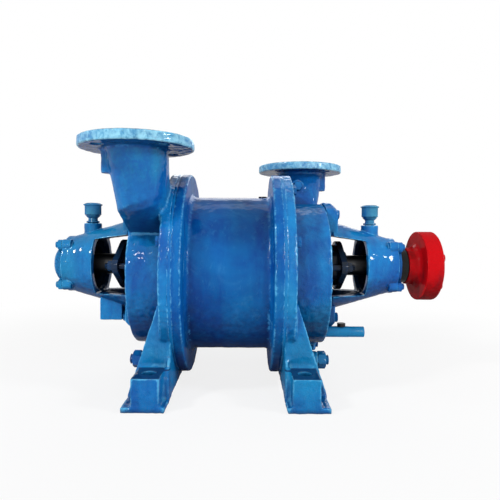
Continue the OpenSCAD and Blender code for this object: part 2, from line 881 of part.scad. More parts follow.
module priming_plug() {
    color(dark) translate([prime_x, 0, casing_z + body_r + prime_lift]) {
        translate([0, 0, -14]) cylinder(h = 14, r = prime_r - 2);
        cylinder(h = 2.5, r = prime_r);
    }
}

// Shaft: thick in the middle, stepped down for bearings and coupling
module shaft() {
    color(steel) on_shaft() difference() {
        union() {
            bar(-sleeve_end, sleeve_end, shaft_r);
            bar(-bearing_x, bearing_x, neck_shaft_r);
            bar(-left_shaft_end, bearing_end + nut_w, journal_r);
            bar(bearing_end, shaft_end, shaft_end_r);
        }
        translate([-key_half_len, -key_w / 2, shaft_r - key_depth]) cube([2 * key_half_len, key_w, shaft_r]);
        translate([coupling_x + 3, -end_key_w / 2, shaft_end_r - key_depth])
            cube([shaft_end - coupling_x, end_key_w, shaft_r]);
    }
}

module impeller_key() {
    half_len = key_half_len - 0.5;
    color(steel) on_shaft() translate([-half_len, -key_w / 2 + seat_fit, shaft_r - key_depth])
        cube([2 * half_len, key_w - 2 * seat_fit, key_h]);
}

// One vane: a forward-curved slice between hub and tip
module vane() {
    bend_r = 110;
    intersection() {
        difference() {
            circle(r = impeller_r);
            circle(r = hub_r - 2);
        }
        translate([0, bend_r]) difference() {
            circle(r = bend_r + vane_t / 2);
            circle(r = bend_r - vane_t / 2);
        }
        translate([0, -impeller_r]) square([impeller_r + 1, 2 * impeller_r]);
    }
}

module impeller() {
    color(bronze) on_shaft() difference() {
        translate([-impeller_half, 0, 0]) rotate([90, 0, 90]) linear_extrude(2 * impeller_half) union() {
            circle(r = hub_r);
            for (i = [0 : vanes - 1]) rotate(i * 360 / vanes) vane();
        }
        bar(-impeller_half - 1, impeller_half + 1, shaft_r + seat_fit);
        translate([-impeller_half - 1, -key_w / 2, 0])
            cube([2 * impeller_half + 2, key_w, shaft_r + key_h - key_depth + hole_fit]);
    }
}

module shaft_sleeve() {
    on_shaft() tube(impeller_half, sleeve_end, sleeve_r, shaft_r + seat_fit);
}

module left_shaft_sleeve() { color(steel) left_end() shaft_sleeve(); }
module right_shaft_sleeve() { color(steel) shaft_sleeve(); }

// Slotted round locknut on the shaft beside the inner race
module locknut() {
    on_shaft() difference() {
        tube(bearing_end, bearing_end + nut_w - 1, nut_r, journal_r + seat_fit);
        for (a = [0 : 90 : 270]) rotate([a, 0, 0])
            translate([bearing_end - 1, -3, nut_r - 3]) cube([nut_w + 2, 6, 10]);
    }
}

module left_locknut() { color(steel) left_end() locknut(); }
module right_locknut() { color(steel) locknut(); }

module shaft_collar() {
    color(black) on_shaft() tube(collar_x, coupling_x, coupling_hub_r - 3, shaft_end_r + seat_fit);
}

module coupling_half() {
    rim = 3;
    color(red) on_shaft() difference() {
        union() {
            bar(coupling_x, disc_x + 1, coupling_hub_r);
            bar(disc_x, shaft_end - rim, coupling_r);
            taper(shaft_end - rim, shaft_end, coupling_r, coupling_r - rim);
        }
        bar(coupling_x - 1, shaft_end + 1, shaft_end_r + seat_fit);
        translate([coupling_x - 1, -end_key_w / 2, 0])
            cube([shaft_end - coupling_x + 2, end_key_w, shaft_end_r + key_h - key_depth + hole_fit]);
        around(pin_circle_r, pin_angles) bar(pin_x, shaft_end + 1, pin_r + seat_fit);
        translate([coupling_x + coupling_hub_len / 2, 0, 0]) rotate([0, 180, 0])
            cylinder(h = coupling_hub_r + 5, r = set_screw_r + seat_fit);
    }
}

module coupling_pins() {
    color(red) on_shaft() around(pin_circle_r, pin_angles) bar(pin_x, shaft_end + pin_proud, pin_r);
}

module coupling_key() {
    color(steel) on_shaft() translate([coupling_x + 3.5, -end_key_w / 2 + seat_fit, shaft_end_r - key_depth])
        cube([shaft_end - coupling_x - 6, end_key_w - 2 * seat_fit, key_h]);
}

module coupling_set_screw() {
    color(black) on_shaft() translate([coupling_x + coupling_hub_len / 2, 0, -coupling_hub_r + 1])
        cylinder(h = coupling_hub_r - shaft_end_r - 1.2, r = set_screw_r);
}

pump_body();
suction_cover();
discharge_cover();
suction_port_plate();
discharge_port_plate();
left_gasket();
right_gasket();
left_flange_bolts();
right_flange_bolts();
lower_studs();
lower_stud_nuts();
left_bearing_bracket();
right_bearing_bracket();
left_bracket_bolts();
right_bracket_bolts();
left_packing();
right_packing();
left_lantern_ring();
right_lantern_ring();
left_gland();
right_gland();
left_gland_studs();
right_gland_studs();
left_gland_nuts();
right_gland_nuts();
left_bearing_outer_race();
right_bearing_outer_race();
left_bearing_cover();
right_bearing_cover();
left_cover_screws();
right_cover_screws();
oil_seal();
left_grease_cup_base();
right_grease_cup_base();
water_pipe();
pipe_plug();
drain_plugs();
gauge_plugs();
priming_plug();
shaft();
impeller();
impeller_key();
left_shaft_sleeve();
right_shaft_sleeve();
left_bearing_inner_race();
right_bearing_inner_race();
left_locknut();
right_locknut();
shaft_collar();
coupling_half();
coupling_key();
coupling_set_screw();
coupling_pins();
left_bearing_balls();
left_bearing_cage();
right_bearing_balls();
right_bearing_cage();
left_grease_cup_cap();
right_grease_cup_cap();
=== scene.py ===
"""Looks of a liquid ring vacuum pump: enamelled castings, fasteners, fittings, rotor and stage."""

import math

import bmesh
import bpy
import numpy as np
from mathutils import Matrix, Vector, noise


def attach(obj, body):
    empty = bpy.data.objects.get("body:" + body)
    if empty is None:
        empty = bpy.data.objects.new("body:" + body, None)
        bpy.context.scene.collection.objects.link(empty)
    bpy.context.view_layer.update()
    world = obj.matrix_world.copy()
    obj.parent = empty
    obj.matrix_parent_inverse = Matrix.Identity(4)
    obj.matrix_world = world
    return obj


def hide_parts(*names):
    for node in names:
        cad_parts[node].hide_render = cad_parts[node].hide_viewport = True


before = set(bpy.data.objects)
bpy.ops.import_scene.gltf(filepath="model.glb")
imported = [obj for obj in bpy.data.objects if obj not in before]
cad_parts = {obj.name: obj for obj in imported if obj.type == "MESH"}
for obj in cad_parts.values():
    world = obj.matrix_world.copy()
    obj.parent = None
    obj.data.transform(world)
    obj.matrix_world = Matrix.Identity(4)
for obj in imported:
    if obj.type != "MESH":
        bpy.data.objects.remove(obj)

bl_info = {
    "name": "Liquid ring vacuum pump",
    "version": (1, 0, 0),
    "blender": (4, 5, 0),
    "location": "View3D > Sidebar > Pump",
    "description": "Builds the looks of a liquid ring vacuum pump on its CAD frame",
    "category": "Object",
}

MM = 0.001
ENDS = {"left": -1, "right": 1}
# Width across flats and height of a bolt head, as shares of the bolt
HEAD_FLATS = 1.5
HEAD_HEIGHT = 0.65
# How far a shank runs up into its head, in metres
SINK = 0.001
# Waves and brush marks of the castings' skin, per metre
WAVES = 38.0
BRUSH_MARKS = 120.0
COUPLING_WAVES = 45.0
# Bend that counts as a full edge on a casting of the common cell size, per metre
EDGE_BEND = 150.0


# Sizes and colours

def length(name, default_mm, description):
    """A length property in metres from a value in millimetres."""
    return bpy.props.FloatProperty(
        name=name, description=description, default=default_mm * MM, unit="LENGTH", precision=4)


def colour(name, default, description):
    """A colour property in linear RGB."""
    return bpy.props.FloatVectorProperty(
        name=name, description=description, default=default, subtype="COLOR", size=3, min=0, max=1)


class PumpSizes(bpy.types.PropertyGroup):
    """Sizes of the pump that the dressed pieces are placed by."""
    shaft_z: length("Shaft height", 225, "Height of the shaft axis above the floor")
    casing_z: length("Casing height", 208.5, "Height of the casing axis above the floor")
    ring_x: length("Ring face", 117.5, "Distance of the cover flanges' outer faces from the middle")
    ring_r: length("Ring radius", 200, "Outer radius of the ring flanges")
    gasket_x: length("Gasket", 98, "Distance of the gaskets' middles from the middle")
    gasket_t: length("Gasket thickness", 1, "Thickness of the cover gaskets")
    gasket_r: length("Gasket bore", 157, "Inner radius of the cover gaskets")
    seam: length("Seam paint", 3.5, "Half width of the paint that bridges the gaskets' seams")
    bolt_circle: length("Bolt circle", 178, "Radius of the ring-flange bolt circle")
    bolt_d: length("Flange bolt", 12, "Diameter of the ring-flange bolts")
    bolt_len: length("Flange bolt length", 30, "Length of the ring-flange bolts under their heads")
    stud_d: length("Lower stud", 20, "Diameter of the lower studs")
    stud_root: length("Stud root", 84, "Distance of the lower studs' inner ends from the middle")
    stud_pitch: length("Stud thread", 2.5, "Thread pitch of the lower studs")
    stud_nut_h: length("Stud nut", 16, "Height of the lower stud nuts")
    nut_gap: length("Nut gap", 0.2, "Clearance between a nut's bore and its stud")
    stud_seat: length("Stud seat", 171, "Distance of the lower stud nuts' seats from the middle")
    stud_end: length("Stud end", 193, "Distance of the lower studs' ends from the middle")
    lug_end: length("Lug face", 210, "Distance of the bracket lugs' outer faces from the middle")
    lug_bolt_y: length("Lug bolt, across", 26, "Distance of the bracket bolts from the upright plane")
    lug_bolt_z: length("Lug bolt, up", 105, "Distance of the bracket bolts above or below the shaft")
    lug_bolt_d: length("Lug bolt", 12, "Diameter of the bracket bolts")
    lug_bolt_len: length("Lug bolt length", 36, "Length of the bracket bolts under their heads")
    gland_end: length("Gland face", 226, "Distance of the gland's outer face from the middle")
    gland_y: length("Gland stud, across", 70, "Distance of the gland studs from the shaft axis")
    gland_stud_d: length("Gland stud", 12, "Diameter of the gland studs")
    gland_stud_in: length("Gland stud, inside", 52, "Length of the gland studs behind the gland's face")
    gland_stud_out: length("Gland stud, outside", 14.6, "Length of the gland studs before the gland's face")
    gland_pitch: length("Gland thread", 1.75, "Thread pitch of the gland studs")
    gland_nut_h: length("Gland nut", 9.6, "Height of the gland nuts")
    cover_end: length("Bearing cover face", 342, "Distance of the bearing covers' faces from the middle")
    ear_circle: length("Ear circle", 56, "Radius of the circle of the bearing cover screws")
    screw_d: length("Cover screw", 8, "Diameter of the bearing cover screws")
    screw_len: length("Cover screw length", 20, "Length of the bearing cover screws under their heads")
    cup_x: length("Grease cup", 287, "Distance of the grease cups from the middle")
    cup_z: length("Grease cup seat", 308, "Height of the grease cups' seats above the floor")
    cap_r: length("Cap radius", 16.5, "Radius of the grease cup caps")
    port_x: length("Port, along", 158, "Distance of the port axes from the middle, along the shaft")
    port_y: length("Port, across", 161, "Distance of the port axes from the shaft, across")
    port_h: length("Port height", 450, "Height of the port flanges' faces above the floor")
    flange_r: length("Port flange", 98, "Radius of the port flanges")
    rim_h: length("Flange rim", 17.5, "Height of the port flanges' pale rims")
    neck_low: length("Neck shade, start", 150, "Depth below the port faces where the necks' shade starts")
    neck_high: length("Neck shade, full", 60, "Depth below the port faces where the necks' shade is full")
    pad_h: length("Foot pad", 57, "Height of the foot pads")
    root_h: length("Foot root", 44, "Height of the blocks at the gussets' roots above the foot pads")
    root_sink: length("Foot root, sunk", 4, "Depth of the blocks at the gussets' roots in the foot pads")
    root_gap: length("Foot root, gap", 1, "Distance of those blocks from the ring flanges' faces")
    gusset_y: length("Gusset", 169, "Distance of the gussets' outer faces from the upright plane")
    gusset_t: length("Gusset thickness", 10, "Thickness of the gussets")
    pad_y: length("Pad start", 171, "Distance of the foot pads' inner edges from the upright plane")
    hub_r: length("Coupling hub", 38, "Radius of the coupling's hub")
    disc_x: length("Coupling disc", 384, "Distance of the coupling disc's back from the middle")
    hub_fillet: length("Hub fillet", 11, "Radius of the fillet between the coupling's hub and disc")
    window_x: length("Window start", 190, "Distance of the bracket windows' inner ends from the middle")
    window_r: length("Window bore", 80.4, "Inner radius of the brackets at the windows' inner ends")
    window_end: length("Window end", 268, "Distance of the bracket windows' outer ends from the middle")
    window_end_r: length("Window end bore", 55.5, "Inner radius of the brackets at the windows' outer ends")
    voxel: length("Casting grain", 2.8, "Cell size at which the castings' edges are rounded")
    wave: length("Casting wave", 0.5, "Depth of the castings' waves")
    body_marks: length("Body brush marks", 0.3, "Depth of the brush marks on the pump body")
    cover_marks: length("Cover brush marks", 0.7, "Depth of the brush marks on the end covers")
    bracket_marks: length("Bracket brush marks", 0.5, "Depth of the brush marks on the brackets")
    coupling_wave: length("Coupling wave", 0.3, "Depth of the coupling's waves")


class PumpColours(bpy.types.PropertyGroup):
    """Colours of the pump's finishes."""
    blue: colour("Blue", (0.005, 0.182, 0.465), "Blue enamel of the covers and brackets")
    blue_deep: colour("Deep blue", (0.003, 0.078, 0.32), "Blue enamel where it lies thick")
    blue_body: colour("Body blue", (0.003, 0.120, 0.375), "Blue enamel of the pump body")
    blue_body_deep: colour("Deep body blue", (0.002, 0.055, 0.27), "Body enamel where it lies thick")
    # The pale blue also colours the painted highlights on edges, creases and flecks.
    blue_pale: colour("Pale blue", (0.10, 0.46, 0.74), "Blue enamel where it lies thin over an edge")
    # Painted shade: the glands and their studs and nuts sit in the brackets' shadow, so their blue is
    # painted near black.
    blue_shade: colour("Shaded blue", (0.004, 0.035, 0.11), "Oily enamel of the glands inside the brackets")
    teal: colour("Teal", (0.045, 0.220, 0.360), "Enamel of the grease cups")
    red: colour("Red", (0.46, 0.003, 0.006), "Red enamel of the coupling")
    red_deep: colour("Deep red", (0.25, 0.006, 0.010), "Red enamel where it lies thick")
    red_pale: colour("Pale red", (0.70, 0.02, 0.02), "Red enamel where it lies thin over an edge")
    black: colour("Black", (0.012, 0.012, 0.013), "Black enamel")
    black_deep: colour("Deep black", (0.006, 0.006, 0.006), "Black enamel where it lies thick")
    black_pale: colour("Worn black", (0.05, 0.05, 0.05), "Black enamel where it lies thin over an edge")
    rim_pale: colour("Pale rim", (0.34, 0.68, 0.82), "Worn enamel on the port flanges' rims")
    chip: colour("Chip", (0.30, 0.36, 0.40), "Bare spots where the enamel is chipped")
    # Painted shade: a near-black colour that stands for the shade inside the bracket windows.
    bore: colour("Bore", (0.004, 0.006, 0.010), "Oily insides of the brackets")
    # Painted reflection: the dark colour of the pad tops stands for the dark surroundings they mirror.
    pad: colour("Pad", (0.004, 0.022, 0.09), "Dirty tops of the foot pads")
    face_dark: colour("Dark face", (0.13, 0.135, 0.14), "Machined port faces, in the tool marks")
    face_pale: colour("Pale face", (0.24, 0.245, 0.25), "Machined port faces, between the tool marks")
    steel: colour("Steel", (0.52, 0.53, 0.54), "Turned steel")
    # Painted shade: the shaft and its sleeves lie in the brackets' shadow, so their steel is painted near
    # black.
    steel_shaded: colour("Oily steel", (0.060, 0.060, 0.062), "Shaft steel under old oil")
    bronze: colour("Bronze", (0.50, 0.31, 0.12), "Cast bronze")
    iron: colour("Iron", (0.26, 0.25, 0.245), "Machined cast iron")
    seal: colour("Seal", (0.05, 0.05, 0.052), "Gaskets, packing and oil seal")
    floor: colour("Floor", (0.80, 0.80, 0.80), "Studio floor")


def sizes():
    """The scene's pump sizes."""
    return bpy.context.scene.pump_sizes


def colours():
    """The scene's pump colours."""
    return bpy.context.scene.pump_colours


# Shader maths

class Wire:
    """A shader socket, so that shader maths reads as plain expressions."""

    def __init__(self, tree, socket):
        self.tree = tree
        self.socket = socket

    def feed(self, target, value):
        """Links a wire to a socket, or sets the socket to a plain value."""
        if isinstance(value, Wire):
            self.tree.links.new(value.socket, target)
            return
        if hasattr(target.default_value, "__len__"):
            value = tuple(value)
            size = len(target.default_value)
            target.default_value = value if len(value) == size else value + (1.0,)
        else:
            target.default_value = value

    def node(self, kind, settings=None, out=0, **inputs):
        """Adds a node of a type, sets its settings, feeds its inputs and returns one output."""
        made = self.tree.nodes.new(kind)
        for key, value in (settings or {}).items():
            setattr(made, key, value)
        for key, value in inputs.items():
            spot = int(key[1:]) if key[0] == "i" and key[1:].isdigit() else key.replace("_", " ")
            self.feed(made.inputs[spot], value)
        return Wire(self.tree, made.outputs[out])

    def maths(self, operation, first, second=0.0):
        return self.node("ShaderNodeMath", {"operation": operation}, i0=first, i1=second)

    def __add__(self, other):
        return self.maths("ADD", self, other)

    def __radd__(self, other):
        return self.maths("ADD", other, self)

    def __sub__(self, other):
        return self.maths("SUBTRACT", self, other)

    def __rsub__(self, other):
        return self.maths("SUBTRACT", other, self)

    def __mul__(self, other):
        return self.maths("MULTIPLY", self, other)

    def __rmul__(self, other):
        return self.maths("MULTIPLY", other, self)

    def __gt__(self, other):
        return self.maths("GREATER_THAN", self, other)

    def __abs__(self):
        return self.maths("ABSOLUTE", self)

    def sine(self):
        return self.maths("SINE", self)

    def power(self, other):
        return self.maths("POWER", self, other)

    def step(self, low, high):
        """0 below low, 1 above high, smooth between."""
        return self.node("ShaderNodeMapRange", {"interpolation_type": "SMOOTHSTEP"},
                         i0=self, i1=low, i2=high)

    def mix(self, first, second):
        """Mixes two colours by this wire."""
        return self.node("ShaderNodeMix", {"data_type": "RGBA"}, 2, i0=self, i6=first, i7=second)

    def grain(self, place, scale, detail=3.0, rough=0.55, bend=0.0):
        """Noise value at a place."""
        return self.node("ShaderNodeTexNoise", None, 0, Vector=place, Scale=scale, Detail=detail,
                         Roughness=rough, Distortion=bend)


class Finish:
    """One procedural material: gives its tree's start points and takes its final sockets."""

    def __init__(self, name):
        self.material = bpy.data.materials.new(name)
        self.material.use_nodes = True
        self.tree = self.material.node_tree
        self.shader = self.tree.nodes["Principled BSDF"]
        self.wire = Wire(self.tree, None)
        self.place = self.wire.node("ShaderNodeTexCoord", None, 3)
        split = self.wire.node("ShaderNodeSeparateXYZ", None, 0, Vector=self.place)
        self.x = split
        self.y = Wire(self.tree, split.socket.node.outputs[1])
        self.z = Wire(self.tree, split.socket.node.outputs[2])

    def attribute(self, name):
        """A value stored on the mesh's points."""
        return self.wire.node("ShaderNodeAttribute", {"attribute_name": name}, 2)

    def stretched(self, x, y, z):
        """Object coordinates stretched along the axes."""
        return self.wire.node("ShaderNodeVectorMath", {"operation": "MULTIPLY"}, 0,
                              i0=self.place, i1=(x, y, z))

    def bump(self, height, depth, below=None):
        """Turns a height into a normal."""
        inputs = {"Strength": 1.0, "Distance": depth, "Height": height}
        if below is not None:
            inputs["Normal"] = below
        return self.wire.node("ShaderNodeBump", None, 0, **inputs)

    def set(self, **values):
        """Feeds the shader's sockets and returns the material."""
        for key, value in values.items():
            self.wire.feed(self.shader.inputs[key.replace("_", " ")], value)
        return self.material


def casting_marks(f):
    """Where the castings differ: flange rims, bare flange tops, painted shade in the windows, a painted
    dark reflection on the pad tops, painted shade on the necks.
    """
    s = sizes()
    side = (f.x > 0.0) * 2.0 - 1.0
    along = abs(f.x)
    off_x = along - s.port_x
    off_y = f.y * side - s.port_y
    out = (off_x * off_x + off_y * off_y).power(0.5)
    rim_z = s.port_h - s.rim_h
    raised = f.z.step(rim_z - 0.0015, rim_z + 0.0015)
    rim = out.step(s.flange_r - 0.004, s.flange_r - 0.002) * raised
    bare = f.z.step(s.port_h - 0.0012, s.port_h - 0.0006)
    rise = f.z - s.shaft_z
    spread = (f.y * f.y + rise * rise).power(0.5)
    taper = (s.window_r - s.window_end_r) / (s.window_end - s.window_x)
    inside = s.window_r - taper * (along - s.window_x)
    shade = (inside - spread).step(-0.006, 0.002) * along.step(s.window_x, s.window_x + 0.006)
    level = f.z.step(s.pad_h - 0.0016, s.pad_h - 0.0008) - f.z.step(s.pad_h + 0.0008, s.pad_h + 0.0016)
    # Painted dark reflection on the foot pads' tops.
    pad = level * abs(f.y).step(s.pad_y, s.pad_y + 0.002)
    # Painted shade on the necks below the port flanges.
    neck = f.z.step(s.port_h - s.neck_low, s.port_h - s.neck_high) * (1.0 - raised)
    neck = neck * along.step(s.ring_x + 0.002, s.ring_x + 0.012)
    return rim, bare, shade, pad, neck


class Enamel(Finish):
    """Brushed machinery enamel: mottled, thin and pale on edges, with painted highlights on edges and
    creases, runs, painted shade in corners and underneath, and small chips.
    """

    def __init__(self, name, base, deep, pale, even):
        super().__init__(name)
        w = self.wire
        self.base, self.deep, self.pale = base, deep, pale
        self.uneven = 1.0 - even
        self.edge = self.attribute("edge")
        self.hollow = self.attribute("hollow")
        self.under = self.attribute("under")
        self.fine = w.grain(self.place, 85.0, 3.0, 0.6)
        self.patch = w.grain(self.place, 30.0, 5.0, 0.7, 0.9)
        self.runs = w.grain(self.stretched(26.0, 26.0, 5.0), 1.0, 3.0, 0.6, 0.4)
        self.hair = w.grain(self.stretched(150.0, 150.0, 60.0), 1.0, 3.0, 0.65, 0.8)
        # Painted highlight: pale colour along creases and corners, set by the mesh's curvature and patchy
        # noise.
        self.crease_highlight = (self.hollow * 0.9 + (self.patch - 0.5) * 1.6).step(0.25, 0.75)
        # Painted shade: darker in corners and on faces turned down, from the curvature and the facing.
        shading = self.hollow * 0.8 + self.under * 1.1 + (self.fine - 0.5) * 0.6 - self.crease_highlight
        self.corner_and_under_shade = shading.step(0.15, 1.0)

    def paint(self):
        """Colour of the paint: deep where it lies thick, pale on edges from thin paint and a painted
        highlight, in flecks from brush ridges and painted glints, and with a painted highlight along
        corners.
        """
        w, base, pale = self.wire, self.base, self.pale
        cloud = w.grain(self.place, 7.0, 4.0, 0.6, 0.6)
        thick = (0.55 * cloud + 0.45 * self.runs).step(0.37, 0.47 + 0.14 * self.uneven)
        tone = thick.mix(self.deep, base)
        zone = w.grain(self.place, 4.5, 2.0, 0.5, 0.3).step(0.46, 0.64)
        tone = (zone * (0.5 * self.uneven)).mix(tone, (base[0] * 1.6, base[1] * 1.05, base[2] * 0.72))
        # Pale on edges: thin paint over the edge, and a painted highlight along it.
        thin = (self.edge * 0.95 + (self.patch - 0.5) * 1.8 + (self.fine - 0.5) * 0.8).step(0.40, 1.05)
        tone = (thin * 0.65).mix(tone, pale)
        lift = w.grain(self.place, 21.0, 5.0, 0.7, 0.9).step(0.52, 0.76)
        tone = (lift * (0.02 + 0.08 * self.uneven)).mix(tone, pale)
        # Pale flecks: brush ridges in the paint, and painted glints of the wet enamel.
        fleck_and_glint = (0.7 * self.hair + 0.5 * (self.patch - 0.5) + 0.3 * self.fine).step(0.54, 0.74)
        tone = (fleck_and_glint * (0.02 + 0.08 * self.uneven)).mix(tone, pale)
        # Painted highlight along the creases.
        return (self.crease_highlight * 0.45).mix(tone, pale)

    def paint_shade(self, tone):
        """Painted shade in corners and underneath, and painted shade from ambient occlusion where other
        surfaces stand close.
        """
        deep = self.deep
        # Painted shade in corners and underneath.
        tone = (self.corner_and_under_shade * 0.8).mix(tone, (deep[0] * 0.35 + 0.002, deep[1] * 0.28, deep[2] * 0.3))
        # Painted shade: ambient occlusion darkens the recesses.
        recess = 1.0 - self.wire.node("ShaderNodeAmbientOcclusion", {"samples": 8}, 1, Distance=0.07)
        recess_shade = (recess + (self.patch - 0.5) * 0.4).step(0.16, 0.70)
        return (recess_shade * 0.72).mix(tone, (deep[0] * 0.3, deep[1] * 0.28, deep[2] * 0.3))

    def chips(self, share):
        """Small spots on the edges where the paint is gone."""
        spots = self.wire.grain(self.place, 140.0, 4.0, 0.65, 0.5)
        return (self.edge + (spots - 0.5) * 2.2).step(1.25, 1.31) * share

    def gloss(self, rough, chip):
        """Roughness: dull in the painted shade of corners and undersides, on chips and where the brush left
        the paint dry.
        """
        streaks = self.wire.grain(self.place, 30.0, 5.0, 0.75, 1.0)
        wet = (streaks + self.edge * 0.22 + self.crease_highlight * 0.22 - self.under * 0.3).step(0.50, 0.68)
        return rough + 0.25 * self.corner_and_under_shade + 0.14 * (self.fine - 0.5) + 0.22 * (1.0 - wet) + 0.2 * chip

    def marked(self, tone, neck, rim, shade, pad, bare):
        """Colour of a casting with painted shade on its necks and in its windows, pale rims, a painted dark
        reflection on the pad tops, and bare faces.
        """
        w = self.wire
        c = colours()
        mottle = w.grain(self.stretched(70.0, 70.0, 60.0), 1.0, 5.0, 0.72, 0.6)
        # Painted shade on the necks below the port flanges.
        tone = (neck * (0.75 - 0.45 * mottle.step(0.40, 0.64))).mix(tone, self.deep)
        tone = (rim * (0.16 + 0.62 * mottle.step(0.36, 0.66))).mix(tone, c.rim_pale)
        # Painted shade inside the bracket windows.
        tone = (shade * 0.93).mix(tone, c.bore)
        # Painted dark reflection on the foot pads' tops.
        tone = (pad * 0.85).mix(tone, c.pad)
        tooling = w.grain(self.stretched(90.0, 90.0, 4.0), 1.0, 4.0, 0.6)
        return bare.mix(tone, tooling.mix(c.face_dark, c.face_pale))

    def relief(self, grain, chip, bare):
        """Normal of the cast skin, the brush runs, the fine peel and the chips' steps."""
        w = self.wire
        peel = w.grain(self.place, 320.0, 2.0, 0.5)
        skin = w.grain(self.place, 64.0, 4.0, 0.62, 0.5)
        normal = None
        for height, depth in ((skin, 0.0018), (self.runs, 0.0010), (0.6 * self.hair + 0.4 * peel, 0.0006)):
            if bare is not None:
                height = height * (1.0 - bare)
            normal = self.bump(height, depth * grain, normal)
        return self.bump(1.0 - chip, 0.00025, normal)


def enamel(name, base, deep, pale, grain=1.0, rough=0.06, chip_share=0.5, casting=False, even=0.0,
           shine=1.0):
    """Enamel finish; a casting's one also has the castings' marks and bare machined faces."""
    f = Enamel(name, base, deep, pale, even)
    chip = f.chips(chip_share)
    tone = chip.mix(f.paint_shade(f.paint()), colours().chip)
    gloss = f.gloss(rough, chip)
    coat = 0.42 * shine
    metal = 0.0
    bare = None
    if casting:
        rim, bare, shade, pad, neck = casting_marks(f)
        tone = f.marked(tone, neck, rim, shade, pad, bare)
        gloss = gloss + shade * 0.6 + bare * 0.2
        coat = coat * (1.0 - shade) * (1.0 - bare)
        metal = bare * 0.85
    return f.set(Base_Color=tone, Roughness=gloss, Metallic=metal, Normal=f.relief(grain, chip, bare),
                 Coat_Weight=coat, Coat_Roughness=0.05, Specular_IOR_Level=0.0)


def turned_metal(name, base, rough, across=900.0):
    """Lathe-turned metal with fine rings round the shaft, smears of oil and small stains."""
    f = Finish(name)
    w = f.wire
    rings = w.grain(f.stretched(across, 3.0, 3.0), 1.0, 2.0, 0.5)
    stain = w.grain(f.place, 40.0, 4.0, 0.65, 0.6).step(0.48, 0.75)
    tone = (stain * 0.45).mix(base, (base[0] * 0.45, base[1] * 0.42, base[2] * 0.38))
    gloss = rough + 0.12 * (rings - 0.5) + 0.18 * stain
    return f.set(Base_Color=tone, Metallic=1.0, Roughness=gloss, Normal=f.bump(rings, 0.00003))


def cast_metal(name, base, rough, metal):
    """Sand-cast metal: pitted, uneven and duller in its hollows."""
    f = Finish(name)
    w = f.wire
    pits = w.grain(f.place, 260.0, 4.0, 0.65)
    cloud = w.grain(f.place, 18.0, 4.0, 0.6, 0.5)
    tone = cloud.step(0.35, 0.7).mix((base[0] * 0.6, base[1] * 0.58, base[2] * 0.55), base)
    gloss = rough + 0.25 * (pits - 0.5) + 0.1 * cloud
    return f.set(Base_Color=tone, Metallic=metal, Roughness=gloss, Normal=f.bump(pits, 0.00025))


def fibre(name, base):
    """Plaited packing and gasket sheet: matt, with a fine weave."""
    f = Finish(name)
    w = f.wire
    weave = (f.x * 2600.0).sine() * (f.z * 2100.0 + f.y * 1700.0).sine()
    fuzz = w.grain(f.place, 500.0, 3.0, 0.6)
    tone = fuzz.step(0.3, 0.7).mix((base[0] * 0.6, base[1] * 0.6, base[2] * 0.6), base)
    return f.set(Base_Color=tone, Roughness=0.78 + 0.1 * (fuzz - 0.5),
                 Normal=f.bump(weave + fuzz, 0.00008))


FINISHES = {}


def finish(name):
    """One of the pump's finishes, made on first use."""
    if name in FINISHES:
        return FINISHES[name]
    c = colours()
    blues = (c.blue, c.blue_deep, c.blue_pale)
    makers = {
        "casting_blue": (enamel, blues, {"grain": 1.2, "casting": True}),
        "body_blue": (enamel, (c.blue_body, c.blue_body_deep, c.blue_pale),
                      {"grain": 0.6, "casting": True, "shine": 0.6}),
        "fitting_blue": (enamel, blues, {"grain": 0.25}),
        # Painted shade: the near-black blue of the glands, their studs and nuts.
        "shaded_blue": (enamel, (c.blue_shade, c.black, c.blue_deep), {"grain": 0.4, "rough": 0.35}),
        "cup_teal": (enamel, (c.teal, c.blue_deep, c.blue_pale),
                     {"grain": 0.2, "rough": 0.28, "chip_share": 0.7, "shine": 0.5}),
        "coupling_red": (enamel, (c.red, c.red_deep, c.red_pale),
                         {"grain": 0.35, "even": 1.0, "shine": 0.25}),
        "satin_black": (enamel, (c.black, c.black_deep, c.black_pale), {"grain": 0.3, "rough": 0.4}),
        "steel": (turned_metal, (c.steel,), {"rough": 0.28}),
        "oily_steel": (turned_metal, (c.steel_shaded,), {"rough": 0.42}),
        "bronze": (cast_metal, (c.bronze,), {"rough": 0.40, "metal": 1.0}),
        "bare_iron": (cast_metal, (c.iron,), {"rough": 0.48, "metal": 0.85}),
        "sealing": (fibre, (c.seal,), {}),
    }
    make, paints, options = makers[name]
    FINISHES[name] = make(name, *paints, **options)
    return FINISHES[name]


# Meshes

def ring_faces(rows, steps):
    """Faces of a skin over rows of points set in rings, closed at both ends."""
    faces = []
    for row in range(rows - 1):
        low = row * steps
        high = low + steps
        for k in range(steps):
            n = (k + 1) % steps
            faces.append((low + k, low + n, high + n, high + k))
    last = (rows - 1) * steps
    faces.append(tuple(reversed(range(steps))))
    faces.append(tuple(last + k for k in range(steps)))
    return faces


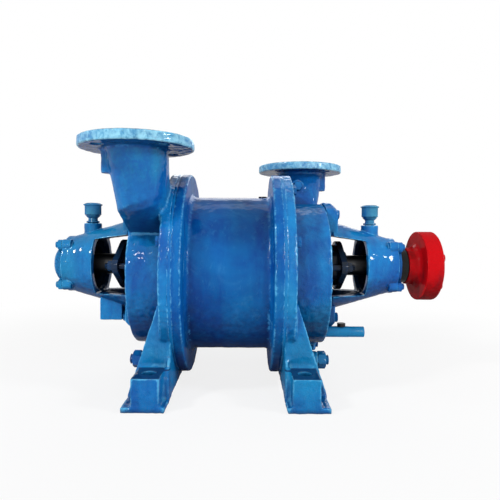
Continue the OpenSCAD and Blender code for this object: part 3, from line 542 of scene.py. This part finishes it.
class Shape:
    """Points and faces gathered from parts, then made into one piece."""

    def __init__(self):
        self.points = []
        self.faces = []

    def add(self, points, faces, place):
        start = len(self.points)
        self.points += [tuple(place @ Vector(p)) for p in points]
        self.faces += [tuple(i + start for i in face) for face in faces]

    def turned(self, profile, place, steps=48, swell=None):
        """Turns a closed-ended profile of (radius, height) round Z; swell(angle, row) scales a radius."""
        points = []
        for row, (r, h) in enumerate(profile):
            for k in range(steps):
                a = 2 * math.pi * k / steps
                s = r * (swell(a, row) if swell else 1.0)
                points.append((s * math.cos(a), s * math.sin(a), h))
        self.add(points, ring_faces(len(profile), steps), place)

    def hexagon(self, flats, low, high, place, bore=0.0, chamfer_low=False):
        """Hexagon head or nut along Z with chamfered corners; a bore leaves it open for a stud."""
        steps = 72
        half = flats / 2
        rim = half * 0.93

        def corner(a):
            return half / math.cos((a + math.pi / 6) % (math.pi / 3) - math.pi / 6)

        rows = []
        slope = math.tan(math.radians(30))
        angles = [2 * math.pi * k / steps for k in range(steps)]
        drop = [max(0.0, (corner(a) * 0.985 - half * 0.97)) * slope for a in angles]
        base = [(corner(a) * 0.985, low + (d if chamfer_low else 0.0)) for a, d in zip(angles, drop)]
        if chamfer_low:
            rows.append([(rim, low)] * steps)
        rows.append(base)
        rows.append([(corner(a) * 0.985, high - d - flats * 0.015) for a, d in zip(angles, drop)])
        rows.append([(min(corner(a), half) * 0.968, high - flats * 0.004) for a in angles])
        rows.append([(rim, high)] * steps)
        if bore > 0:
            rows.append([(bore * 1.12, high)] * steps)
            rows.append([(bore, high - bore * 0.12)] * steps)
        points = [(r * math.cos(a), r * math.sin(a), h) for row in rows for a, (r, h) in zip(angles, row)]
        self.add(points, ring_faces(len(rows), steps), place)

    def threaded(self, d, low, high, place, pitch):
        """Threaded rod along Z with a chamfered end."""
        r = d / 2
        root = r - 0.55 * pitch
        profile = [(root, low)]
        h = low
        while h + pitch < high - pitch * 0.8:
            turn = [(root, 0.15), (r, 0.45), (r, 0.6), (root, 0.9)]
            profile += [(reach, h + share * pitch) for reach, share in turn]
            h += pitch
        profile += [(root, high - 0.9 * pitch), (r * 0.98, high - 0.55 * pitch), (r * 0.80, high)]
        self.turned(profile, place, 32)

    def bolt(self, d, reach, place, degrees, steps=24):
        """Hexagon bolt: a head on its seat, turned by some degrees, and a shank below it."""
        self.hexagon(HEAD_FLATS * d, 0.0, HEAD_HEIGHT * d, turned_about(place, degrees))
        self.turned([(d / 2, -reach), (d / 2, SINK)], place, steps)

    def box(self, low, high):
        """Block between two corners."""
        spans = list(zip(low, high))
        points = [(x, y, z) for x in spans[0] for y in spans[1] for z in spans[2]]
        faces = [(0, 1, 3, 2), (4, 6, 7, 5), (0, 4, 5, 1), (2, 3, 7, 6), (0, 2, 6, 4), (1, 5, 7, 3)]
        self.add(points, faces, Matrix.Identity(4))

    def piece(self, name, body, look, nodes, sharp=32):
        """Makes the piece, rides it on its body and lets it stand for its CAD nodes."""
        mesh = bpy.data.meshes.new(name)
        mesh.from_pydata(self.points, [], self.faces)
        mesh.validate()
        mesh.update()
        return dress(name, mesh, body, look, nodes, sharp)

    def fitting(self, node, look="fitting_blue"):
        """Makes a painted fitting of the pump's frame that stands for one CAD node."""
        return self.piece(node + "_dressed", "pump_frame", look, [node])


def dress(name, mesh, body, look, nodes, sharp):
    """Puts a mesh into the scene as a piece of the pump."""
    mesh.shade_smooth()
    mesh.set_sharp_from_angle(angle=math.radians(sharp))
    made = bpy.data.objects.new(name, mesh)
    bpy.context.scene.collection.objects.link(made)
    mesh.materials.clear()
    mesh.materials.append(finish(look))
    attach(made, body)
    if nodes:
        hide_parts(*nodes)
    return made


def along_x(side, x, y, z):
    """Place whose local Z points out along the shaft at one end; y turns over with the end."""
    turn = Matrix.Rotation(math.pi / 2 * side, 4, "Y")
    return Matrix.Translation((side * x, side * y, z)) @ turn


def upright(x, y, z):
    """Place whose local Z points up."""
    return Matrix.Translation((x, y, z))


def turned_about(place, degrees):
    """The same place turned about its own axis."""
    return place @ Matrix.Rotation(math.radians(degrees), 4, "Z")


def circle_places(side, x, centre_z, r, degrees):
    """Places on a circle round the shaft direction at one end."""
    made = []
    for a in degrees:
        t = math.radians(a)
        made.append(along_x(side, x, r * math.cos(t), centre_z + r * math.sin(t)))
    return made


def rounded_casting(node, voxel, rounds, extra=None):
    """Mesh of a CAD casting, with an extra shape grown on, rounded as sand casting leaves it."""
    grown = bmesh.new()
    grown.from_mesh(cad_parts[node].data)
    if extra:
        corners = [grown.verts.new(p) for p in extra.points]
        for face in extra.faces:
            grown.faces.new([corners[i] for i in face])
    base = bpy.data.meshes.new(node + "_work")
    grown.to_mesh(base)
    grown.free()
    work = bpy.data.objects.new(node + "_work", base)
    bpy.context.scene.collection.objects.link(work)
    weld = work.modifiers.new("weld", "WELD")
    weld.merge_threshold = 0.00002
    cells = work.modifiers.new("cells", "REMESH")
    cells.mode = "VOXEL"
    cells.voxel_size = voxel
    soft = work.modifiers.new("soft", "SMOOTH")
    soft.factor = 0.5
    soft.iterations = rounds
    graph = bpy.context.evaluated_depsgraph_get()
    mesh = bpy.data.meshes.new_from_object(work.evaluated_get(graph))
    bpy.data.objects.remove(work)
    mesh.name = node + "_cast"
    return mesh


def skin_points(mesh):
    """A mesh's points and their normals."""
    made = []
    for key in ("co", "normal"):
        values = np.empty(len(mesh.vertices) * 3)
        mesh.vertices.foreach_get(key, values)
        made.append(values.reshape(-1, 3))
    return made


def store_edges(mesh, reach):
    """Stores how far each point is on an edge, in a corner or turned down, from the mesh's own bend."""
    count = len(mesh.vertices)
    points, normals = skin_points(mesh)
    pairs = np.empty(len(mesh.edges) * 2, dtype=np.int64)
    mesh.edges.foreach_get("vertices", pairs)
    pairs = pairs.reshape(-1, 2)
    both = np.concatenate([pairs, pairs[:, ::-1]])
    gap = points[both[:, 1]] - points[both[:, 0]]
    size = np.maximum(np.linalg.norm(gap, axis=1), 1e-7)
    slope = np.einsum("ij,ij->i", gap, normals[both[:, 0]]) / size ** 2
    total = np.bincount(both[:, 0], slope, count)
    share = np.maximum(np.bincount(both[:, 0], minlength=count), 1)
    bend = -2.0 * total / share
    for _ in range(2):
        around = np.bincount(both[:, 0], bend[both[:, 1]], count) / share
        bend = 0.5 * bend + 0.5 * around
    for name, values in (("edge", bend / reach), ("hollow", -bend / reach), ("under", -normals[:, 2])):
        layer = mesh.attributes.new(name, "FLOAT", "POINT")
        layer.data.foreach_set("value", np.clip(values, 0.0, 1.0).astype(np.float32))


def rough_skin(mesh, depth, scale, seed):
    """Moves the points a little along their normals, as a hand-dressed casting is uneven."""
    offset = Vector((seed * 3.1, seed * 1.7, seed * 2.3))
    points, normals = skin_points(mesh)
    lift = np.array([noise.noise(Vector(p) * scale + offset) for p in points])
    lift[points[:, 2] > sizes().port_h - 0.0008] = 0.0
    points = points + normals * (lift * depth)[:, None]
    mesh.vertices.foreach_set("co", points.ravel())
    mesh.update()


def soften(node, look, width=0.0008, segments=2, angle=35):
    """Keeps a CAD solid, breaks its sharp edges and gives it a finish."""
    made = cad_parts[node]
    made.data.materials.clear()
    made.data.materials.append(finish(look))
    weld = made.modifiers.new("weld", "WELD")
    weld.merge_threshold = 0.00001
    edge = made.modifiers.new("edge", "BEVEL")
    edge.width = width
    edge.segments = segments
    edge.limit_method = "ANGLE"
    edge.angle_limit = math.radians(angle)
    edge.harden_normals = False
    smooth = made.modifiers.new("smooth", "WEIGHTED_NORMAL")
    smooth.keep_sharp = False


# Operators

class PUMP_OT_castings(bpy.types.Operator):
    """Rounds and enamels the pump body, the two end covers and the two bearing brackets"""
    bl_idname = "pump.castings"
    bl_label = "Castings"

    def execute(self, context):
        s = sizes()
        body = (s.voxel, 3, s.body_marks, "body_blue")
        cover = (s.voxel, 3, s.cover_marks, "casting_blue")
        bracket = (s.voxel * 0.5, 5, s.bracket_marks, "casting_blue")
        castings = {"pump_body": body, "suction_cover": cover, "discharge_cover": cover,
                    "left_bearing_bracket": bracket, "right_bearing_bracket": bracket}
        for seed, (node, (voxel, rounds, marks, look)) in enumerate(castings.items(), 1):
            mesh = rounded_casting(node, voxel, rounds, self.foot_roots(node))
            rough_skin(mesh, s.wave, WAVES, seed)
            rough_skin(mesh, marks, BRUSH_MARKS, seed + 0.5)
            store_edges(mesh, EDGE_BEND * s.voxel / voxel)
            dress(node + "_cast", mesh, "pump_frame", look, [node], 80)
        return {"FINISHED"}

    def foot_roots(self, node):
        """Blocks that close the narrow slots between the covers' gussets and their ring flanges."""
        s = sizes()
        sides = {"suction_cover": -1, "discharge_cover": 1}
        if node not in sides:
            return None
        ends = sorted((sides[node] * (s.gasket_x + s.root_gap), sides[node] * (s.ring_x - s.root_gap)))
        shape = Shape()
        for across in (-1, 1):
            walls = sorted((across * (s.gusset_y - s.gusset_t), across * s.gusset_y))
            shape.box((ends[0], walls[0], s.pad_h - s.root_sink), (ends[1], walls[1], s.pad_h + s.root_h))
        return shape


class PUMP_OT_gaskets(bpy.types.Operator):
    """Makes the cover gaskets, with the paint that bridges their seams"""
    bl_idname = "pump.gaskets"
    bl_label = "Gaskets"

    def execute(self, context):
        s = sizes()
        half = s.gasket_t / 2
        fill = s.seam
        r = s.ring_r
        bore = s.gasket_r
        profile = [(bore, -half), (r - 2.0 * fill, -half), (r - fill, -fill), (r - 0.0008, -0.8 * fill),
                   (r - 0.0004, -0.2 * fill), (r - 0.0004, 0.3 * fill), (r - 0.0008, 0.8 * fill),
                   (r - fill, fill), (r - 2.0 * fill, half), (bore, half), (bore, -half)]
        for end, side in ENDS.items():

            def uneven(a, row):
                spot = Vector((9.0 * math.cos(a), 9.0 * math.sin(a), row * 1.3 + side))
                return 1.0 + 0.0012 * noise.noise(spot)

            seam = Shape()
            seam.turned(profile, along_x(side, s.gasket_x, 0.0, s.casing_z), 360, uneven)
            seam.piece(end + "_gasket_dressed", "pump_frame", "casting_blue",
                       [end + "_gasket"], 60)
        return {"FINISHED"}


class PUMP_OT_flange_bolts(bpy.types.Operator):
    """Makes the bolts of the ring flanges"""
    bl_idname = "pump.flange_bolts"
    bl_label = "Flange bolts"

    def execute(self, context):
        s = sizes()
        degrees = [22.5, 67.5, 112.5, 157.5]
        for end, side in ENDS.items():
            shape = Shape()
            places = circle_places(side, s.ring_x, s.casing_z, s.bolt_circle, degrees)
            for k, place in enumerate(places):
                shape.bolt(s.bolt_d, s.bolt_len, place, 17 * k)
            shape.fitting(end + "_flange_bolts")
        return {"FINISHED"}


class PUMP_OT_lower_studs(bpy.types.Operator):
    """Makes the long lower studs and their nuts"""
    bl_idname = "pump.lower_studs"
    bl_label = "Lower studs"

    def execute(self, context):
        s = sizes()
        r = s.stud_d / 2
        studs = Shape()
        nuts = Shape()
        for side in ENDS.values():
            places = circle_places(side, s.stud_seat, s.casing_z, s.bolt_circle, [247.5, 292.5])
            for k, place in enumerate(places):
                back = -(s.stud_seat - s.stud_root)
                studs.turned([(r, back), (r, 2 * SINK)], place, 32)
                studs.threaded(s.stud_d, SINK, s.stud_end - s.stud_seat, place, s.stud_pitch)
                nuts.hexagon(HEAD_FLATS * s.stud_d, 0.0, s.stud_nut_h, turned_about(place, 11 + 23 * k),
                             r + s.nut_gap, True)
        studs.fitting("lower_studs")
        nuts.fitting("lower_stud_nuts")
        return {"FINISHED"}


class PUMP_OT_bracket_bolts(bpy.types.Operator):
    """Makes the bolts of the bearing brackets"""
    bl_idname = "pump.bracket_bolts"
    bl_label = "Bracket bolts"

    def execute(self, context):
        s = sizes()
        for end, side in ENDS.items():
            shape = Shape()
            for k, (y, z) in enumerate([(1, 1), (-1, 1), (1, -1), (-1, -1)]):
                place = along_x(side, s.lug_end, y * s.lug_bolt_y, s.shaft_z + z * s.lug_bolt_z)
                shape.bolt(s.lug_bolt_d, s.lug_bolt_len, place, 13 * k)
            shape.fitting(end + "_bracket_bolts")
        return {"FINISHED"}


class PUMP_OT_cover_screws(bpy.types.Operator):
    """Makes the screws of the bearing covers"""
    bl_idname = "pump.cover_screws"
    bl_label = "Bearing cover screws"

    def execute(self, context):
        s = sizes()
        for end, side in ENDS.items():
            shape = Shape()
            places = circle_places(side, s.cover_end, s.shaft_z, s.ear_circle, [45, 135, 225, 315])
            for k, place in enumerate(places):
                shape.bolt(s.screw_d, s.screw_len, place, 19 * k, 20)
            shape.fitting(end + "_cover_screws")
        return {"FINISHED"}


class PUMP_OT_gland_studs(bpy.types.Operator):
    """Makes the studs and nuts of the glands"""
    bl_idname = "pump.gland_studs"
    bl_label = "Gland studs"

    def execute(self, context):
        s = sizes()
        r = s.gland_stud_d / 2
        for end, side in ENDS.items():
            studs = Shape()
            nuts = Shape()
            for y in (-1, 1):
                place = along_x(side, s.gland_end, y * s.gland_y, s.shaft_z)
                studs.turned([(r, -s.gland_stud_in), (r, SINK)], place, 24)
                studs.threaded(s.gland_stud_d, SINK / 2, s.gland_stud_out, place, s.gland_pitch)
                nuts.hexagon(HEAD_FLATS * s.gland_stud_d, 0.0, s.gland_nut_h, turned_about(place, 21 * y),
                             r + s.nut_gap, True)
            studs.fitting(end + "_gland_studs", "shaded_blue")
            nuts.fitting(end + "_gland_nuts", "shaded_blue")
        return {"FINISHED"}


class PUMP_OT_grease_cups(bpy.types.Operator):
    """Makes the grease cups and their knurled screw caps"""
    bl_idname = "pump.grease_cups"
    bl_label = "Grease cups"

    def execute(self, context):
        s = sizes()
        r = s.cap_r
        low = 0.017
        ridges = 40
        stem = [(0.0095, -0.024), (0.0095, 0.0005)]
        collar = [(0.0125, 0.0012), (0.0132, 0.0026), (0.0128, 0.0044), (0.0095, 0.0052), (0.0093, 0.0105)]
        saucer = [(0.0112, 0.0122), (0.0150, 0.0160), (0.0152, 0.0164), (0.0131, 0.0166)]
        mouth = [(0.0131, 0.032), (0.0128, 0.0328)]
        inside = [(0.0136, 0.02), (0.0136, 0.0006), (0.0142, 0.0002)]
        wall = [(r - 0.001, 0.0002), (r, 0.0012), (r, 0.0185)]
        brim = [(r + 0.0006, 0.0195), (r + 0.0022, 0.0202), (r + 0.0025, 0.0212), (r + 0.0022, 0.0222)]
        crown = [(r - 0.0004, 0.0229), (r - 0.0020, 0.0242), (r - 0.0050, 0.0249), (0.004, 0.025)]

        def knurl(a, row):
            return 1.0 - (0.022 * (0.5 + 0.5 * math.cos(ridges * a)) if 2 <= row <= 5 else 0.0)

        for end, side in ENDS.items():
            place = upright(side * s.cup_x, 0.0, s.cup_z)
            cup = Shape()
            cup.turned(stem + collar + saucer + mouth, place, 48)
            cup.piece(end + "_grease_cup_dressed", "pump_frame", "cup_teal",
                      [end + "_grease_cup_base"])
            cap = Shape()
            outline = [(out, low + h) for out, h in inside + wall + brim + crown]
            cap.turned(outline, place, 240, knurl)
            cap.piece(end + "_grease_cap_dressed", end + "_cup_cap", "cup_teal",
                      [end + "_grease_cup_cap"], 40)
        return {"FINISHED"}


class PUMP_OT_fittings(bpy.types.Operator):
    """Keeps the small fittings with broken edges: glands, bearing covers, water pipe and plugs"""
    bl_idname = "pump.fittings"
    bl_label = "Fittings"

    def execute(self, context):
        for end in ENDS:
            soften(end + "_gland", "shaded_blue", 0.0012)
            soften(end + "_bearing_cover", "fitting_blue", 0.0012)
        soften("water_pipe", "fitting_blue", 0.0006)
        soften("pipe_plug", "satin_black", 0.0008)
        soften("drain_plugs", "fitting_blue", 0.0008)
        soften("gauge_plugs", "fitting_blue", 0.0008)
        soften("priming_plug", "satin_black", 0.0010)
        return {"FINISHED"}


class PUMP_OT_coupling(bpy.types.Operator):
    """Enamels the coupling half, its pins and the collar behind it"""
    bl_idname = "pump.coupling"
    bl_label = "Coupling"

    def execute(self, context):
        s = sizes()
        r = s.hub_fillet
        arc = [math.radians(a) for a in range(0, 91, 10)]
        curve = [(s.hub_r + r - r * math.cos(a), r * math.sin(a) - r) for a in arc]
        fillet = Shape()
        sunk = 0.004
        inner = s.hub_r - sunk
        outline = [(inner, -r)] + curve + [(curve[-1][0], sunk), (inner, sunk), (inner, -r)]
        fillet.turned(outline, along_x(1, s.disc_x, 0.0, s.shaft_z), 144)
        voxel = s.voxel * 0.5
        mesh = rounded_casting("coupling_half", voxel, 3, fillet)
        rough_skin(mesh, s.coupling_wave, COUPLING_WAVES, 9)
        store_edges(mesh, EDGE_BEND * s.voxel / voxel)
        dress("coupling_half_cast", mesh, "rotor", "coupling_red", ["coupling_half"], 80)
        soften("coupling_pins", "coupling_red", 0.0010)
        soften("shaft_collar", "satin_black", 0.0012, 3)
        soften("coupling_set_screw", "satin_black", 0.0003)
        soften("coupling_key", "steel", 0.0004)
        return {"FINISHED"}


class PUMP_OT_inner_parts(bpy.types.Operator):
    """Gives the rotor, the bearings and the seals their own finishes"""
    bl_idname = "pump.inner_parts"
    bl_label = "Inner parts"

    def execute(self, context):
        # The shaft and its sleeves get the near-black steel: painted shade inside the brackets.
        shaded_parts = ["shaft"]
        steel = ["impeller_key"]
        bronze = ["impeller"]
        sealing = ["oil_seal"]
        for end in ENDS:
            shaded_parts += [end + "_shaft_sleeve"]
            steel += [end + "_bearing_inner_race", end + "_bearing_outer_race", end + "_bearing_balls",
                      end + "_locknut"]
            bronze += [end + "_bearing_cage", end + "_lantern_ring"]
            sealing += [end + "_packing"]
        plates = ["suction_port_plate", "discharge_port_plate"]
        for nodes, look, width in ((shaded_parts, "oily_steel", 0.0004), (steel, "steel", 0.0004),
                                   (bronze, "bronze", 0.0004), (sealing, "sealing", 0.0003),
                                   (plates, "bare_iron", 0.0005)):
            for node in nodes:
                soften(node, look, width)
        return {"FINISHED"}


class PUMP_OT_stage(bpy.types.Operator):
    """Makes the floor, the lights, the world and the camera"""
    bl_idname = "pump.stage"
    bl_label = "Stage"

    def execute(self, context):
        scene = context.scene
        scene.view_settings.view_transform = "Standard"
        self.floor()
        self.lights()
        self.world(scene)
        self.camera(scene)
        return {"FINISHED"}

    def floor(self):
        """A wide disc that shows white to the camera and keeps the pump's shadow."""
        shape = Shape()
        shape.turned([(6.0, -0.0005), (0.01, -0.0004)], upright(0, 0, 0), 96)
        mesh = bpy.data.meshes.new("floor")
        mesh.from_pydata(shape.points, [], shape.faces)
        made = bpy.data.objects.new("floor", mesh)
        bpy.context.scene.collection.objects.link(made)
        f = Finish("studio_floor")
        w = f.wire
        pale = colours().floor
        speck = w.grain(f.place, 3.0, 3.0, 0.5)
        f.set(Base_Color=speck.mix((pale[0] * 0.99, pale[1] * 0.99, pale[2] * 0.99), pale),
              Roughness=0.9, Specular_IOR_Level=0.0)
        glow = w.node("ShaderNodeEmission", None, 0, Color=(1.0, 1.0, 1.0), Strength=1.0)
        reach = w.node("ShaderNodeVectorMath", {"operation": "LENGTH"}, 1, i0=f.place)
        far = reach.step(0.45, 1.2)
        straight = w.node("ShaderNodeLightPath", None, 0)
        share = self.seen(w) * far + straight * (1.0 - far) * 0.82
        matt = Wire(f.tree, f.shader.outputs[0])
        both = w.node("ShaderNodeMixShader", None, 0, i0=share, i1=matt, i2=glow)
        f.tree.links.new(both.socket, f.tree.nodes["Material Output"].inputs["Surface"])
        made.data.materials.append(f.material)

    def seen(self, w):
        """1 for what the camera sees, straight, in gloss or through glass; 0 for light on the object."""
        path = w.node("ShaderNodeLightPath", None, 0)
        outs = path.socket.node.outputs
        seen = path
        for key in ("Is Glossy Ray", "Is Transmission Ray"):
            seen = w.maths("MAXIMUM", seen, Wire(w.tree, outs[key]))
        return seen

    def lamp(self, name, place, aim, size, power, glossy=True):
        """One lamp turned to a point; without gloss it lights but isn't mirrored."""
        light = bpy.data.lights.new(name, "AREA")
        light.shape = "RECTANGLE"
        light.size = size[0]
        light.size_y = size[1]
        light.energy = power
        made = bpy.data.objects.new(name, light)
        made.location = place
        made.rotation_euler = (Vector(aim) - Vector(place)).to_track_quat("-Z", "Y").to_euler()
        made.visible_glossy = glossy
        bpy.context.scene.collection.objects.link(made)

    def lights(self):
        """Broad soft lamps all round, two small bright ones and four glints for the wet paint."""
        middle = (0.0, 0.0, 0.25)
        self.lamp("top_light", (-0.2, 0.9, 2.0), middle, (1.4, 0.5), 4.0)
        self.lamp("front_light", (-0.6, -2.3, 0.6), (0.0, 0.0, 0.22), (2.6, 1.4), 19.0, False)
        for place in ((-0.7, -1.9, 1.2), (0.8, -1.9, 1.0), (-1.2, -1.7, 0.5), (1.4, -1.6, 0.6)):
            self.lamp("glint", place, middle, (0.12, 0.12), 3.0)
        self.lamp("back_light", (0.3, 2.4, 1.4), (0.0, 0.0, 0.22), (1.8, 1.0), 20.0)
        self.lamp("left_light", (-1.6, -1.1, 1.7), (-0.1, 0.0, 0.25), (0.3, 0.3), 28.0)
        self.lamp("right_light", (2.0, -0.9, 1.1), (0.1, 0.0, 0.25), (0.4, 0.4), 30.0)

    def world(self, scene):
        """A white surround for the camera and for gloss, and a dim one as light."""
        world = bpy.data.worlds.new("studio")
        world.use_nodes = True
        tree = world.node_tree
        sky = tree.nodes["Background"]
        w = Wire(tree, None)
        w.feed(sky.inputs["Strength"], 0.16 + 0.84 * self.seen(w))
        sky.inputs["Color"].default_value = (1.0, 1.0, 1.0, 1.0)
        scene.world = world

    def camera(self, scene):
        """The camera that the photograph was fitted with."""
        yaw, pitch, roll = 0.0082, -0.0433, 0.0080
        level = math.cos(pitch)
        ahead = Vector((math.sin(yaw) * level, math.cos(yaw) * level, math.sin(pitch)))
        right = Vector((math.cos(yaw), -math.sin(yaw), 0.0))
        up = right.cross(ahead)
        tilted = math.cos(roll) * right + math.sin(roll) * up
        turn = Matrix((tilted, tilted.cross(ahead), -ahead)).transposed().to_4x4()
        lens = bpy.data.cameras.new("camera")
        lens.lens = 33.51
        lens.sensor_width = 36.0
        lens.clip_start = 0.01
        made = bpy.data.objects.new("camera", lens)
        made.matrix_world = Matrix.Translation((0.0306, -0.9689, 0.2971)) @ turn
        scene.collection.objects.link(made)
        scene.camera = made


class PUMP_PT_panel(bpy.types.Panel):
    """Lists the pump's pieces in the sidebar"""
    bl_idname = "PUMP_PT_panel"
    bl_label = "Vacuum pump"
    bl_space_type = "VIEW_3D"
    bl_region_type = "UI"
    bl_category = "Pump"

    def draw(self, context):
        for operator in OPERATORS:
            self.layout.operator(operator.bl_idname)
        for group in (context.scene.pump_sizes, context.scene.pump_colours):
            for key in group.__annotations__:
                self.layout.prop(group, key)


OPERATORS = (PUMP_OT_castings, PUMP_OT_flange_bolts, PUMP_OT_lower_studs, PUMP_OT_bracket_bolts,
             PUMP_OT_cover_screws, PUMP_OT_gland_studs, PUMP_OT_gaskets, PUMP_OT_grease_cups,
             PUMP_OT_fittings, PUMP_OT_coupling, PUMP_OT_inner_parts, PUMP_OT_stage)
CLASSES = (PumpSizes, PumpColours) + OPERATORS + (PUMP_PT_panel,)


def register():
    """Registers the classes and their settings."""
    for cls in CLASSES:
        bpy.utils.register_class(cls)
    bpy.types.Scene.pump_sizes = bpy.props.PointerProperty(type=PumpSizes)
    bpy.types.Scene.pump_colours = bpy.props.PointerProperty(type=PumpColours)


def unregister():
    """Removes the classes and their settings."""
    del bpy.types.Scene.pump_colours
    del bpy.types.Scene.pump_sizes
    for cls in reversed(CLASSES):
        bpy.utils.unregister_class(cls)


def main():
    """Dresses the pump."""
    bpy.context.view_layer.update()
    register()
    bpy.ops.pump.stage()
    bpy.ops.pump.castings()
    bpy.ops.pump.flange_bolts()
    bpy.ops.pump.lower_studs()
    bpy.ops.pump.bracket_bolts()
    bpy.ops.pump.cover_screws()
    bpy.ops.pump.gland_studs()
    bpy.ops.pump.gaskets()
    bpy.ops.pump.grease_cups()
    bpy.ops.pump.fittings()
    bpy.ops.pump.coupling()
    bpy.ops.pump.inner_parts()


if __name__ == "__main__":
    main()
